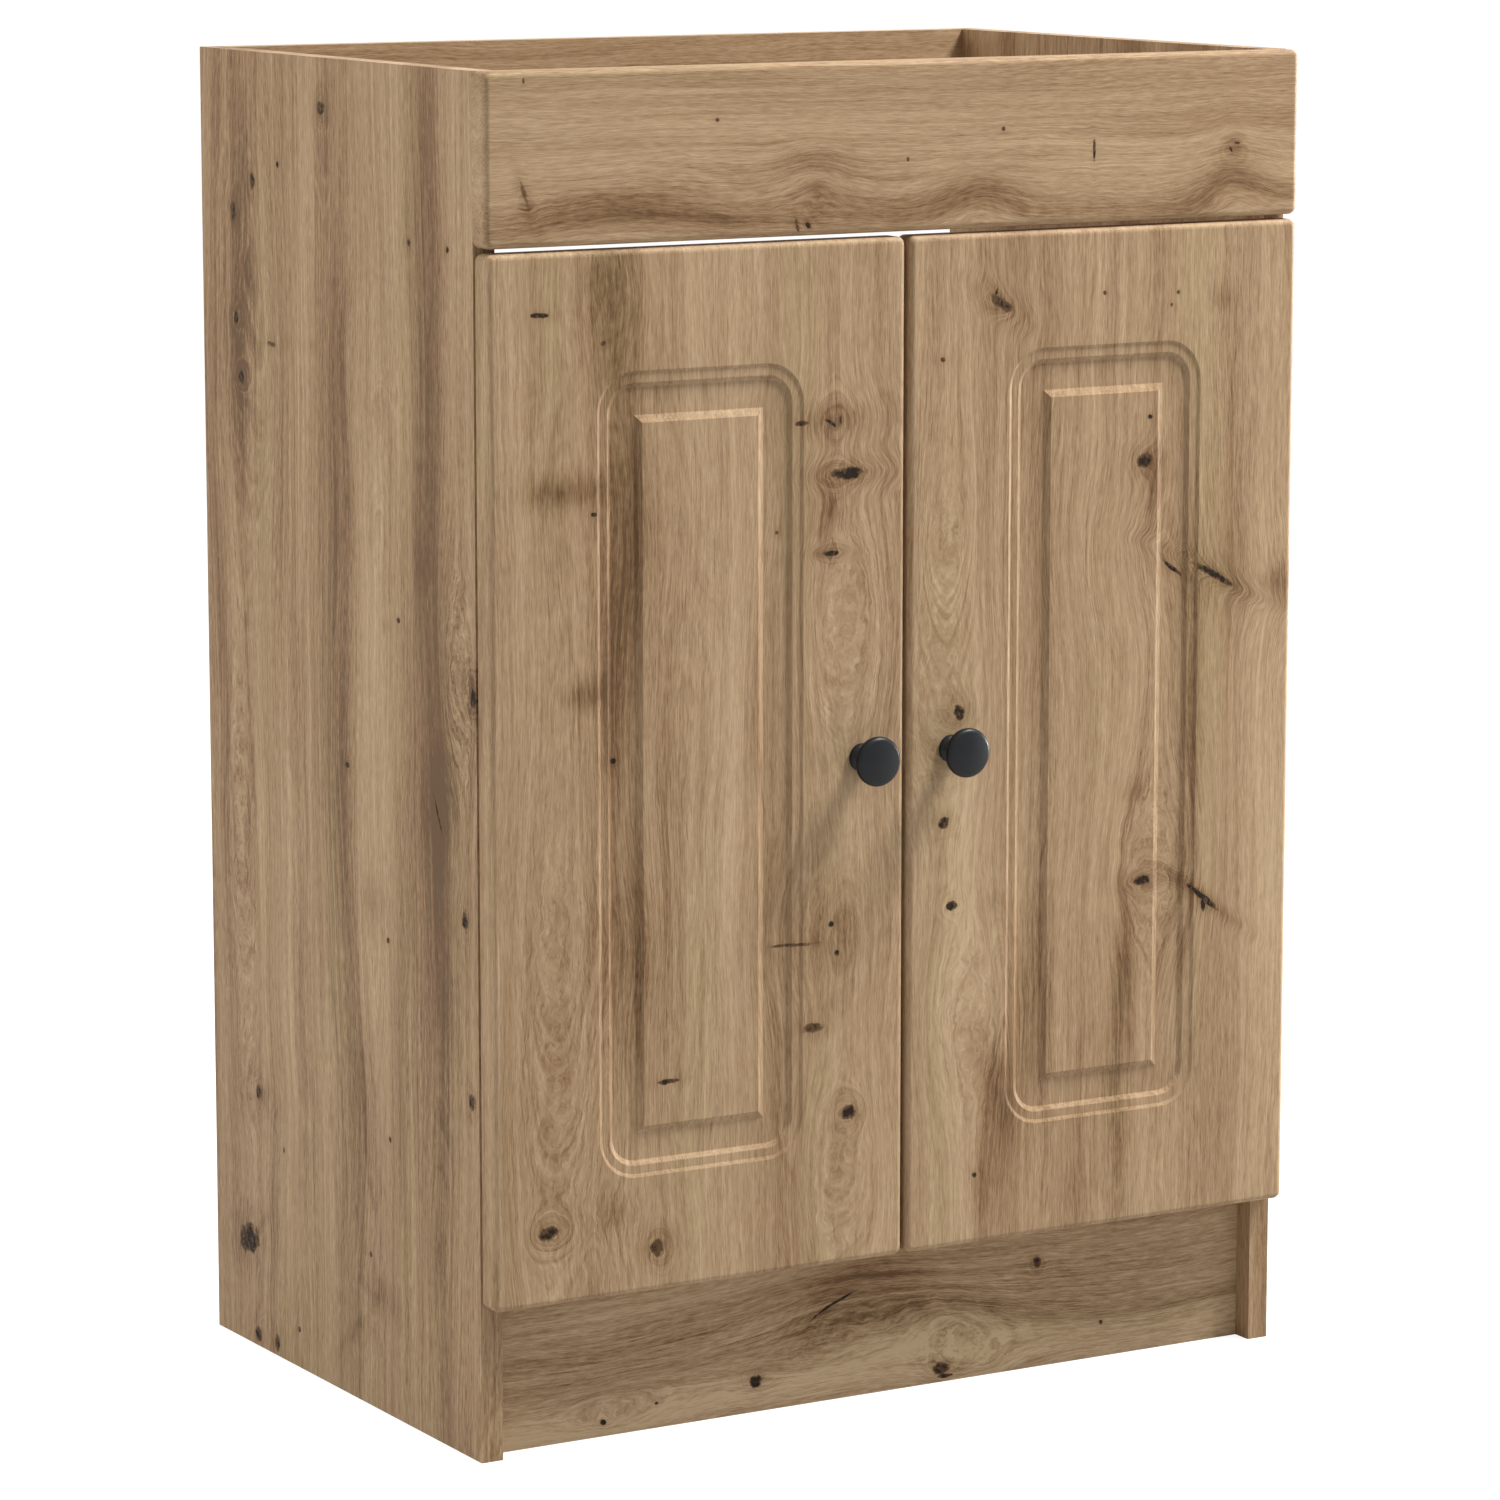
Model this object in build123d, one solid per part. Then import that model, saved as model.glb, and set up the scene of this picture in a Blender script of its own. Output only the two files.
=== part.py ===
from build123d import *
import math
import os

# Sink base cabinet, 600 mm wide: an open-topped, open-backed carcass of 15 mm
# boards on a plinth, a fixed front fascia, and a pair of overlay doors with a
# routed raised-panel moulding, mushroom knobs and concealed folding hinges.
# Millimetres. X runs to the right, Y to the back and Z up. The origin lies on
# the floor under the centre of the whole cabinet, knobs included.

# ---------------------------------------------------------------- carcass
CABINET_WIDTH = 600.0
CABINET_HEIGHT = 868.0
SIDE_DEPTH = 386.0
BOARD = 15.0
PLINTH_HEIGHT = 100.0
PLINTH_SETBACK = 15.0
BACK_TOP_RAIL_HEIGHT = 100.0
BACK_BOTTOM_RAIL_HEIGHT = 100.0

# ---------------------------------------------------------------- fronts
FASCIA_THICKNESS = 16.0
FASCIA_HEIGHT = 107.0
FASCIA_DOOR_GAP = 3.0
DOOR_THICKNESS = 16.0
DOOR_STANDOFF = 1.0          # between the carcass edges and the closed doors
DOOR_SIDE_REVEAL = 1.0       # door edge inside the carcass side
DOOR_CENTRE_GAP = 3.0
FRONT_CORNER_RADIUS = 5.0
FRONT_EDGE_RADIUS = 4.0

# ---------------------------------------------------------------- door moulding
MOULDING_MARGIN = 75.0       # door edge to the outer line of the moulding
MOULDING_CORNER_RADIUS = 26.0
LIP_RUN = 2.2                # first sloping step
LIP_DEPTH = 1.1
LEDGE_WIDTH = 7.5            # outer line to the top of the second step
COVE_RUN = 3.0               # second sloping step
COVE_DEPTH = 2.1
BEVEL_FOOT = 27.5            # outer line to the foot of the raised field
BEVEL_RUN = 4.8
BEVEL_RISE = 2.4
MOULDING_SOFTENING = 1.2     # rounding of the routed arrises

# ---------------------------------------------------------------- knobs
KNOB_DIAMETER = 32.0
KNOB_PROJECTION = 25.0
KNOB_DOME_HEIGHT = 5.0       # widest part of the head to its crown
KNOB_RIM_RADIUS = 3.5
KNOB_STEM_DIAMETER = 12.5
KNOB_WAIST_FROM = 5.0        # the straight of the stem, from the door
KNOB_WAIST_TO = 9.0
KNOB_FOOT_DIAMETER = 18.0
KNOB_FOOT_RIM = 2.0
KNOB_FLARE_RADIUS = 5.0
KNOB_FROM_DOOR_EDGE = 32.0
KNOB_SCREW_DIAMETER = 4.0
KNOB_SCREW_GRIP = 12.0       # length of screw inside the knob
KNOB_SCREW_PLAY = 0.5        # radial play in the door's bore
KNOB_SCREW_HEAD_DIAMETER = 8.0
KNOB_SCREW_HEAD_HEIGHT = 2.4

# ---------------------------------------------------------------- flat-pack fittings
FIT = 0.05                   # radial clearance of a fitting in its bore
BORE_TIP = 0.5               # space left at the end of a bore
DOWEL_DIAMETER = 8.0
DOWEL_IN_SIDE = 10.0
DOWEL_IN_BOARD = 20.0
DOWEL_CHAMFER = 1.0
CAM_DIAMETER = 15.0
CAM_HEIGHT = 12.0
CAM_FROM_END = 24.0
CAM_SLOT_LENGTH = 9.0
CAM_SLOT_WIDTH = 2.0
CAM_SLOT_DEPTH = 2.5
BOLT_DIAMETER = 5.0
BOLT_THREAD_LENGTH = 11.0
BOLT_NECK_DIAMETER = 3.0
BOLT_NECK_LENGTH = 4.0
BOLT_HEAD_DIAMETER = 6.5
BOLT_HEAD_LENGTH = 2.0
BOLT_BORE_DIAMETER = 8.0
RAIL_FITTING_SPACING = 32.0  # cam above dowel in the end of an upright board
FLOOR_CAM_INSET = 60.0       # cams of the bottom panel from its front and back
FLOOR_DOWEL_OFFSET = 32.0

BRACKET_LEG = 24.0
BRACKET_WIDTH = 18.0
BRACKET_THICKNESS = 2.0
BRACKET_HOLE_FROM_BEND = 14.0
BRACKET_EDGE_INSET = 25.0    # bracket centres from the fascia's top and bottom
WOOD_SCREW_DIAMETER = 3.5
WOOD_SCREW_LENGTH = 11.0
PAN_HEAD_DIAMETER = 7.0
PAN_HEAD_CROWN = 4.6         # flat on top of the head
PAN_HEAD_HEIGHT = 2.2

BUMPER_DIAMETER = 7.0
BUMPER_SIDE_INSET = 11.2     # bumper on a side panel's edge, from its outer face
BUMPER_TOP_DROP = 25.0       # below the top of the door
BUMPER_FROM_CENTRE = 22.0    # bumper on the bottom panel's edge

# ---------------------------------------------------------------- concealed hinges
# A hinge folds as a parallelogram: the swing link turns with the door on the
# arm's pin, and the cup link keeps its direction. The door then turns about a
# virtual axis close to its outer front edge. Places on a hinge are measured
# from that edge: `a` towards the middle of the door, `b` to the back.
HINGE_FROM_DOOR_END = 100.0
AXIS_A = 3.0
AXIS_B = 1.5
CUP_FROM_EDGE = 22.5
CUP_DIAMETER = 35.0
CUP_DEPTH = 11.5
CUP_WALL = 1.0
FLANGE_THICKNESS = 1.2
FLANGE_LENGTH = 60.0
FLANGE_OVERHANG = 14.5       # cup centre to the flange's inner side
FLANGE_CORNER = 6.0
FLANGE_CLEARANCE = 0.6       # between the flange and the side panel
CUP_SCREW_SPACING = 45.0
CUP_SCREW_OFFSET = 9.5
CUP_PIN_A = 18.0
CUP_PIN_B = 9.5
ARM_PIN_FROM_SIDE = 4.5      # arm pin from the side panel's inner face
ARM_PIN_FROM_FRONT = 3.5     # arm pin behind the side panel's front edge
PIN_DIAMETER = 3.0
PIN_FIT = 0.1
LINK_HUB_RADIUS = 2.8
CUP_LINK_THICKNESS = 4.4
CUP_LINK_WIDTH = 10.4
CUP_LINK_BULGE = 5.0
SWING_PLATE_THICKNESS = 1.8
SWING_PLATE_GAP = 11.2       # between the two plates of a swing link
CHEEK_GAP = 16.0             # between the cheeks of an arm
STEEL = 1.2                  # sheet thickness of an arm
ARM_RISE = 12.4              # top of the arm from the side panel
ARM_LENGTH = 60.0            # length of the arm's web
ARM_WEB_START = 13.0         # front of the arm's web behind the side's front edge
ARM_NOSE_CHAMFER = 1.5
ARM_SHOULDER_START = 4.0     # the cheeks step down to the plate behind the web's front
ARM_SHOULDER_RUN = 4.0
PLATE_SCREW_SETBACK = 37.0
PLATE_SCREW_SPACING = 32.0
PLATE_WING_LENGTH = 50.0
PLATE_WING_WIDTH = 14.0
PLATE_WING_THICKNESS = 3.0
PLATE_WING_CORNER = 5.5
PLATE_BODY_LENGTH = 34.0
PLATE_BODY_WIDTH = 15.0
ARM_SCREW_DIAMETER = 5.0
ARM_SCREW_HEAD_DIAMETER = 9.0
ARM_SCREW_HEAD_CROWN = 7.0
ARM_SCREW_HEAD_HEIGHT = 2.6
ARM_SCREW_LENGTH = 8.0
ARM_SCREW_FROM_CENTRE = 10.0

# ---------------------------------------------------------------- derived places
OVERALL_DEPTH = KNOB_PROJECTION + DOOR_THICKNESS + DOOR_STANDOFF + SIDE_DEPTH
BACK_Y = OVERALL_DEPTH / 2
CARCASS_FRONT_Y = BACK_Y - SIDE_DEPTH
DOOR_BACK_Y = CARCASS_FRONT_Y - DOOR_STANDOFF
DOOR_FRONT_Y = DOOR_BACK_Y - DOOR_THICKNESS
HALF_WIDTH = CABINET_WIDTH / 2
SIDE_INNER_X = HALF_WIDTH - BOARD
PLINTH_Y = CARCASS_FRONT_Y + PLINTH_SETBACK
FLOOR_TOP_Z = PLINTH_HEIGHT + BOARD
FASCIA_BOTTOM_Z = CABINET_HEIGHT - FASCIA_HEIGHT
DOOR_BOTTOM_Z = PLINTH_HEIGHT
DOOR_TOP_Z = FASCIA_BOTTOM_Z - FASCIA_DOOR_GAP
DOOR_CENTRE_Z = (DOOR_BOTTOM_Z + DOOR_TOP_Z) / 2
DOOR_HEIGHT = DOOR_TOP_Z - DOOR_BOTTOM_Z
DOOR_OUTER_X = HALF_WIDTH - DOOR_SIDE_REVEAL
DOOR_INNER_X = DOOR_CENTRE_GAP / 2
DOOR_WIDTH = DOOR_OUTER_X - DOOR_INNER_X
DOOR_CENTRE_X = (DOOR_OUTER_X + DOOR_INNER_X) / 2
KNOB_X = DOOR_INNER_X + KNOB_FROM_DOOR_EDGE
HINGE_HEIGHTS = {"upper": DOOR_TOP_Z - HINGE_FROM_DOOR_END,
                 "lower": DOOR_BOTTOM_Z + HINGE_FROM_DOOR_END}
SIDES = {"left": -1, "right": 1}

# Hinge places, measured from the door's outer front edge.
DOOR_BACK_B = DOOR_THICKNESS
CARCASS_B = DOOR_THICKNESS + DOOR_STANDOFF
SIDE_FACE_A = BOARD - DOOR_SIDE_REVEAL
ARM_PIN_A = SIDE_FACE_A + ARM_PIN_FROM_SIDE
ARM_PIN_B = CARCASS_B + ARM_PIN_FROM_FRONT
LINK_PIN_A = ARM_PIN_A + CUP_PIN_A - AXIS_A
LINK_PIN_B = ARM_PIN_B + CUP_PIN_B - AXIS_B
PLATE_CENTRE_B = CARCASS_B + PLATE_SCREW_SETBACK
ARM_TOP_A = SIDE_FACE_A + ARM_RISE
PLATE_TOP_A = ARM_TOP_A - STEEL


# ---------------------------------------------------------------- basic forms
def board(x_from, x_to, y_from, y_to, z_from, z_to):
    """A plain board between two corners."""
    size = (abs(x_to - x_from), y_to - y_from, z_to - z_from)
    centre = ((x_from + x_to) / 2, (y_from + y_to) / 2, (z_from + z_to) / 2)
    return Pos(*centre) * Box(*size)


def rod(start, direction, radius, length):
    """A cylinder from a point along a direction."""
    return Plane(origin=start, z_dir=direction) * Cylinder(
        radius, length, align=(Align.CENTER, Align.CENTER, Align.MIN))


def turned(start, direction, profile):
    """A turned piece: (radius, distance) points revolved about its axis."""
    outline = Polyline(*[(radius, 0, along) for radius, along in profile], close=True)
    body = revolve(make_face(outline), Axis.Z)
    return Plane(origin=start, z_dir=direction) * body


def put(shape, side):
    """Mirror a piece made for the left side when it is wanted on the right."""
    return mirror(shape, about=Plane.YZ) if side > 0 else shape


def pan_screw(seat, direction):
    """A wood screw whose conical head rests on its seat."""
    shank = WOOD_SCREW_DIAMETER / 2 - FIT
    return turned(seat, direction, [
        (0, -PAN_HEAD_HEIGHT), (PAN_HEAD_CROWN / 2, -PAN_HEAD_HEIGHT), (PAN_HEAD_DIAMETER / 2, 0),
        (shank, 0), (shank, WOOD_SCREW_LENGTH), (0, WOOD_SCREW_LENGTH)])


def pan_screw_bore(seat, direction):
    return rod(seat, direction, WOOD_SCREW_DIAMETER / 2, WOOD_SCREW_LENGTH + BORE_TIP)


# ---------------------------------------------------------------- carcass joints
def rail_joints(z_centre, y_centre):
    """Cam and dowel places at both ends of an upright board, cams at its back."""
    for side in SIDES.values():
        face = side * SIDE_INNER_X
        step = RAIL_FITTING_SPACING / 2
        yield {"end": (face, y_centre, z_centre + step), "inward": (-side, 0, 0),
               "cam_face": (0, 1, 0), "dowel": (face, y_centre, z_centre - step)}


def floor_joints():
    """Cam and dowel places at both ends of the bottom panel, cams underneath."""
    height = PLINTH_HEIGHT + BOARD / 2
    for side in SIDES.values():
        face = side * SIDE_INNER_X
        for y, dowel_step in ((CARCASS_FRONT_Y + FLOOR_CAM_INSET, FLOOR_DOWEL_OFFSET),
                              (BACK_Y - FLOOR_CAM_INSET, -FLOOR_DOWEL_OFFSET)):
            yield {"end": (face, y, height), "inward": (-side, 0, 0),
                   "cam_face": (0, 0, -1), "dowel": (face, y + dowel_step, height)}


JOINTS = {
    "bottom_panel": list(floor_joints()),
    "back_top_rail": list(rail_joints(
        CABINET_HEIGHT - BACK_TOP_RAIL_HEIGHT / 2, BACK_Y - BOARD / 2)),
    "back_bottom_rail": list(rail_joints(
        FLOOR_TOP_Z + BACK_BOTTOM_RAIL_HEIGHT / 2, BACK_Y - BOARD / 2)),
    "plinth_board": list(rail_joints(PLINTH_HEIGHT / 2, PLINTH_Y + BOARD / 2)),
}
ALL_JOINTS = [joint for joints in JOINTS.values() for joint in joints]


def outward(joint):
    return tuple(-value for value in joint["inward"])


def cam_seat(joint):
    """The centre of a cam's open face, flush with its board's face."""
    inward = Vector(*joint["inward"]) * CAM_FROM_END
    to_face = Vector(*joint["cam_face"]) * (BOARD / 2)
    return Vector(*joint["end"]) + inward + to_face


def cam_lock(joint):
    """A cam housing: a disc with a bore for the bolt's head and a screwdriver slot."""
    seat = cam_seat(joint)
    into_board = Vector(*joint["cam_face"]) * -1
    body = rod(seat, into_board, CAM_DIAMETER / 2 - FIT, CAM_HEIGHT)
    body -= rod(joint["end"], joint["inward"], BOLT_BORE_DIAMETER / 2,
                CAM_FROM_END + BOLT_HEAD_LENGTH + BORE_TIP)
    slot_plane = Plane(origin=seat, x_dir=joint["inward"], z_dir=into_board)
    return body - slot_plane * Box(CAM_SLOT_LENGTH, CAM_SLOT_WIDTH, CAM_SLOT_DEPTH * 2)


def cam_bolt(joint):
    """A cam bolt: threaded in the side panel, its head inside the cam."""
    shank = BOLT_DIAMETER / 2 - FIT
    neck = BOLT_NECK_DIAMETER / 2
    head = BOLT_HEAD_DIAMETER / 2
    neck_start = CAM_FROM_END - BOLT_NECK_LENGTH
    head_end = CAM_FROM_END + BOLT_HEAD_LENGTH
    return turned(joint["end"], joint["inward"], [
        (0, -BOLT_THREAD_LENGTH), (shank, -BOLT_THREAD_LENGTH), (shank, neck_start),
        (neck, neck_start), (neck, CAM_FROM_END), (head, CAM_FROM_END),
        (head, head_end), (0, head_end)])


def dowel(place, inward):
    radius = DOWEL_DIAMETER / 2 - FIT
    tip = radius - DOWEL_CHAMFER
    return turned(place, inward, [
        (0, -DOWEL_IN_SIDE), (tip, -DOWEL_IN_SIDE), (radius, DOWEL_CHAMFER - DOWEL_IN_SIDE),
        (radius, DOWEL_IN_BOARD - DOWEL_CHAMFER), (tip, DOWEL_IN_BOARD), (0, DOWEL_IN_BOARD)])


def end_bores(joints):
    """What is bored out of a board for its cams, bolts and dowels."""
    bores = []
    for joint in joints:
        bores.append(rod(cam_seat(joint), Vector(*joint["cam_face"]) * -1,
                         CAM_DIAMETER / 2, CAM_HEIGHT))
        bores.append(rod(joint["end"], joint["inward"], BOLT_BORE_DIAMETER / 2, CAM_FROM_END))
        bores.append(rod(joint["dowel"], joint["inward"], DOWEL_DIAMETER / 2,
                         DOWEL_IN_BOARD + BORE_TIP))
    return bores


def side_bores(side):
    """What is bored out of a side panel for the boards between the sides."""
    bores = []
    for joint in ALL_JOINTS:
        if joint["end"][0] * side < 0:
            continue
        bores.append(rod(joint["end"], outward(joint), BOLT_DIAMETER / 2,
                         BOLT_THREAD_LENGTH + BORE_TIP))
        bores.append(rod(joint["dowel"], outward(joint), DOWEL_DIAMETER / 2,
                         DOWEL_IN_SIDE + BORE_TIP))
    return bores


# ---------------------------------------------------------------- carcass boards
def side_panel(side):
    panel = board(side * SIDE_INNER_X, side * HALF_WIDTH, CARCASS_FRONT_Y, BACK_Y, 0, CABINET_HEIGHT)
    panel -= side_bores(side)
    for seat in bracket_side_seats(side):
        panel -= pan_screw_bore(seat, (side, 0, 0))
    for height in HINGE_HEIGHTS.values():
        panel -= [put(bore, side) for bore in plate_screw_bores(height)]
    return panel


def bottom_panel():
    panel = board(-SIDE_INNER_X, SIDE_INNER_X, CARCASS_FRONT_Y, BACK_Y, PLINTH_HEIGHT, FLOOR_TOP_Z)
    return panel - end_bores(JOINTS["bottom_panel"])


def plinth_board():
    panel = board(-SIDE_INNER_X, SIDE_INNER_X, PLINTH_Y, PLINTH_Y + BOARD, 0, PLINTH_HEIGHT)
    return panel - end_bores(JOINTS["plinth_board"])


def back_rail(name, z_from, z_to):
    rail = board(-SIDE_INNER_X, SIDE_INNER_X, BACK_Y - BOARD, BACK_Y, z_from, z_to)
    return rail - end_bores(JOINTS[name])


# ---------------------------------------------------------------- fascia
def rounded_front(x_from, x_to, y_front, y_back, z_from, z_to):
    """A foil-wrapped front board: round corners and a soft front arris."""
    panel = board(x_from, x_to, y_front, y_back, z_from, z_to)
    panel = fillet(panel.edges().filter_by(Axis.Y), FRONT_CORNER_RADIUS)
    front_rim = panel.faces().sort_by(Axis.Y)[0].outer_wire().edges()
    return fillet(front_rim, FRONT_EDGE_RADIUS)


def bracket_heights():
    return (CABINET_HEIGHT - BRACKET_EDGE_INSET, FASCIA_BOTTOM_Z + BRACKET_EDGE_INSET)


def bracket_side_seats(side):
    """Screw seats on the legs that lie on a side panel."""
    return [(side * (SIDE_INNER_X - BRACKET_THICKNESS), CARCASS_FRONT_Y + BRACKET_HOLE_FROM_BEND, z)
            for z in bracket_heights()]


def bracket_fascia_seats(side):
    """Screw seats on the legs that lie on the fascia's back."""
    return [(side * (SIDE_INNER_X - BRACKET_HOLE_FROM_BEND), CARCASS_FRONT_Y + BRACKET_THICKNESS, z)
            for z in bracket_heights()]


def fascia_panel():
    panel = rounded_front(-HALF_WIDTH, HALF_WIDTH, CARCASS_FRONT_Y - FASCIA_THICKNESS,
                          CARCASS_FRONT_Y, FASCIA_BOTTOM_Z, CABINET_HEIGHT)
    for side in SIDES.values():
        for seat in bracket_fascia_seats(side):
            panel -= pan_screw_bore(seat, (0, -1, 0))
    return panel


def fascia_bracket(side, height):
    """A steel angle between a side panel and the fascia's back."""
    x_face = side * SIDE_INNER_X
    low, high = height - BRACKET_WIDTH / 2, height + BRACKET_WIDTH / 2
    leg_end_y = CARCASS_FRONT_Y + BRACKET_LEG
    angle = board(x_face - side * BRACKET_THICKNESS, x_face, CARCASS_FRONT_Y, leg_end_y, low, high)
    angle += board(x_face - side * BRACKET_LEG, x_face, CARCASS_FRONT_Y,
                   CARCASS_FRONT_Y + BRACKET_THICKNESS, low, high)
    return angle


def fascia_brackets():
    angles = []
    for side in SIDES.values():
        for index, height in enumerate(bracket_heights()):
            angle = fascia_bracket(side, height)
            angle -= pan_screw_bore(bracket_side_seats(side)[index], (side, 0, 0))
            angle -= pan_screw_bore(bracket_fascia_seats(side)[index], (0, -1, 0))
            angles.append(angle)
    return angles


def fascia_bracket_screws():
    screws = []
    for side in SIDES.values():
        screws += [pan_screw(seat, (side, 0, 0)) for seat in bracket_side_seats(side)]
        screws += [pan_screw(seat, (0, -1, 0)) for seat in bracket_fascia_seats(side)]
    return screws


# ---------------------------------------------------------------- doors
def moulding_cut(centre_x):
    """The routed sinking of a door: two rounded steps round a square raised field."""
    face = Plane(origin=(centre_x, DOOR_FRONT_Y, DOOR_CENTRE_Z), x_dir=(1, 0, 0), z_dir=(0, 1, 0))
    width = DOOR_WIDTH - 2 * MOULDING_MARGIN
    height = DOOR_HEIGHT - 2 * MOULDING_MARGIN
    lip = extrude(face * RectangleRounded(width, height, MOULDING_CORNER_RADIUS), LIP_DEPTH,
                  taper=math.degrees(math.atan(LIP_RUN / LIP_DEPTH)))
    ledge = face.offset(LIP_DEPTH)
    cove = extrude(ledge * RectangleRounded(width - 2 * LEDGE_WIDTH, height - 2 * LEDGE_WIDTH,
                                            MOULDING_CORNER_RADIUS - LEDGE_WIDTH), COVE_DEPTH,
                   taper=math.degrees(math.atan(COVE_RUN / COVE_DEPTH)))
    floor = Plane(origin=face.offset(LIP_DEPTH + COVE_DEPTH).origin, x_dir=(1, 0, 0), z_dir=(0, -1, 0))
    field = extrude(floor * Rectangle(width - 2 * BEVEL_FOOT, height - 2 * BEVEL_FOOT), BEVEL_RISE,
                    taper=math.degrees(math.atan(BEVEL_RUN / BEVEL_RISE)))
    return lip + cove - field


def moulding_arrises(panel):
    """The edges of the routed steps; the raised field keeps its crisp rim."""
    front, _field, *sunk_levels, _back = panel.faces().filter_by(Axis.Y).sort_by(Axis.Y)
    arrises = [edge for wire in front.inner_wires() for edge in wire.edges()]
    arrises += [edge for level in sunk_levels for edge in level.edges()]
    return arrises


def door(side):
    """An overlay door with its moulding, hinge cup bores and knob bore."""
    panel = rounded_front(-DOOR_OUTER_X, -DOOR_INNER_X, DOOR_FRONT_Y, DOOR_BACK_Y,
                          DOOR_BOTTOM_Z, DOOR_TOP_Z)
    panel -= moulding_cut(-DOOR_CENTRE_X)
    panel = fillet(moulding_arrises(panel), MOULDING_SOFTENING)
    panel -= rod((-KNOB_X, DOOR_FRONT_Y, DOOR_CENTRE_Z), (0, 1, 0),
                 KNOB_SCREW_DIAMETER / 2 + KNOB_SCREW_PLAY, DOOR_THICKNESS)
    for height in HINGE_HEIGHTS.values():
        panel -= rod(at_hinge(CUP_FROM_EDGE, DOOR_BACK_B, height), (0, -1, 0),
                     CUP_DIAMETER / 2, CUP_DEPTH + BORE_TIP)
        for seat in cup_screw_seats(height):
            panel -= pan_screw_bore(seat, (0, -1, 0))
    return put(panel, side)


def knob_outline():
    """Half the section of a knob: foot, waisted stem, rolled rim and shallow dome."""
    head = KNOB_DIAMETER / 2
    stem = KNOB_STEM_DIAMETER / 2
    foot = KNOB_FOOT_DIAMETER / 2
    rim_at = KNOB_PROJECTION - KNOB_DOME_HEIGHT
    under_at = rim_at - KNOB_RIM_RADIUS
    rim_x = head - KNOB_RIM_RADIUS
    spare = KNOB_DOME_HEIGHT - KNOB_RIM_RADIUS
    dome = (rim_x ** 2 + KNOB_DOME_HEIGHT ** 2 - KNOB_RIM_RADIUS ** 2) / (2 * spare)
    towards = Vector(rim_x, rim_at - KNOB_PROJECTION + dome).normalized()
    blend = Vector(rim_x, rim_at) + towards * KNOB_RIM_RADIUS
    with BuildLine() as outline:
        Polyline((0, 0), (foot, 0), (foot, KNOB_FOOT_RIM))
        flare = RadiusArc((foot, KNOB_FOOT_RIM), (stem, KNOB_WAIST_FROM), KNOB_FLARE_RADIUS)
        Line(flare @ 1, (stem, KNOB_WAIST_TO))
        TangentArc((stem, KNOB_WAIST_TO), (rim_x, under_at), tangent=(0, 1))
        TangentArc((rim_x, under_at), (head, rim_at), tangent=(1, 0))
        roll = TangentArc((head, rim_at), (blend.X, blend.Y), tangent=(0, 1))
        TangentArc(roll @ 1, (0, KNOB_PROJECTION), tangent=roll % 1)
        Line((0, KNOB_PROJECTION), (0, 0))
    return outline.line


def knob(side):
    """A mushroom knob turned in one piece."""
    turning = revolve(make_face(knob_outline()), Axis.Y)
    body = Plane(origin=(-KNOB_X, DOOR_FRONT_Y, DOOR_CENTRE_Z), z_dir=(0, -1, 0)) * (
        Rot(90, 0, 0) * turning)
    body -= rod((-KNOB_X, DOOR_FRONT_Y, DOOR_CENTRE_Z), (0, -1, 0),
                KNOB_SCREW_DIAMETER / 2, KNOB_SCREW_GRIP + BORE_TIP)
    return put(body, side)


def knob_screw(side):
    shank = KNOB_SCREW_DIAMETER / 2 - FIT
    head = KNOB_SCREW_HEAD_DIAMETER / 2
    tip = DOOR_THICKNESS + KNOB_SCREW_GRIP
    screw = turned((-KNOB_X, DOOR_BACK_Y, DOOR_CENTRE_Z), (0, -1, 0), [
        (0, -KNOB_SCREW_HEAD_HEIGHT), (head, -KNOB_SCREW_HEAD_HEIGHT), (head, 0),
        (shank, 0), (shank, tip), (0, tip)])
    return put(screw, side)


# ---------------------------------------------------------------- concealed hinges
def at_hinge(a, b, z):
    """A place on the left hinges: from the door's outer front edge to the part's frame."""
    return (a - DOOR_OUTER_X, DOOR_FRONT_Y + b, z)


def hinge_plane(z):
    """A horizontal sketch plane with (a, b) as its own x and y."""
    return Plane(origin=at_hinge(0, 0, z), x_dir=(1, 0, 0), z_dir=(0, 0, 1))


def cup_screw_seats(height):
    return [at_hinge(CUP_FROM_EDGE + CUP_SCREW_OFFSET, DOOR_BACK_B + FLANGE_THICKNESS,
                     height + step * CUP_SCREW_SPACING / 2) for step in (-1, 1)]


def hinge_cup(height):
    """A deep-drawn cup with the flange that is screwed to the door's back."""
    outer = CUP_DIAMETER / 2 - FIT
    mouth = at_hinge(CUP_FROM_EDGE, DOOR_BACK_B, height)
    cup = rod(mouth, (0, -1, 0), outer, CUP_DEPTH)
    flange_from = SIDE_FACE_A + FLANGE_CLEARANCE
    flange_to = CUP_FROM_EDGE + FLANGE_OVERHANG
    flange_face = Plane(origin=at_hinge((flange_from + flange_to) / 2, DOOR_BACK_B, height),
                        x_dir=(1, 0, 0), z_dir=(0, 1, 0))
    cup += extrude(flange_face * RectangleRounded(flange_to - flange_from, FLANGE_LENGTH,
                                                  FLANGE_CORNER), FLANGE_THICKNESS)
    hollow_mouth = at_hinge(CUP_FROM_EDGE, DOOR_BACK_B + FLANGE_THICKNESS, height)
    cup -= rod(hollow_mouth, (0, -1, 0), outer - CUP_WALL, FLANGE_THICKNESS + CUP_DEPTH - CUP_WALL)
    for seat in cup_screw_seats(height):
        cup -= pan_screw_bore(seat, (0, -1, 0))
    return cup


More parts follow.
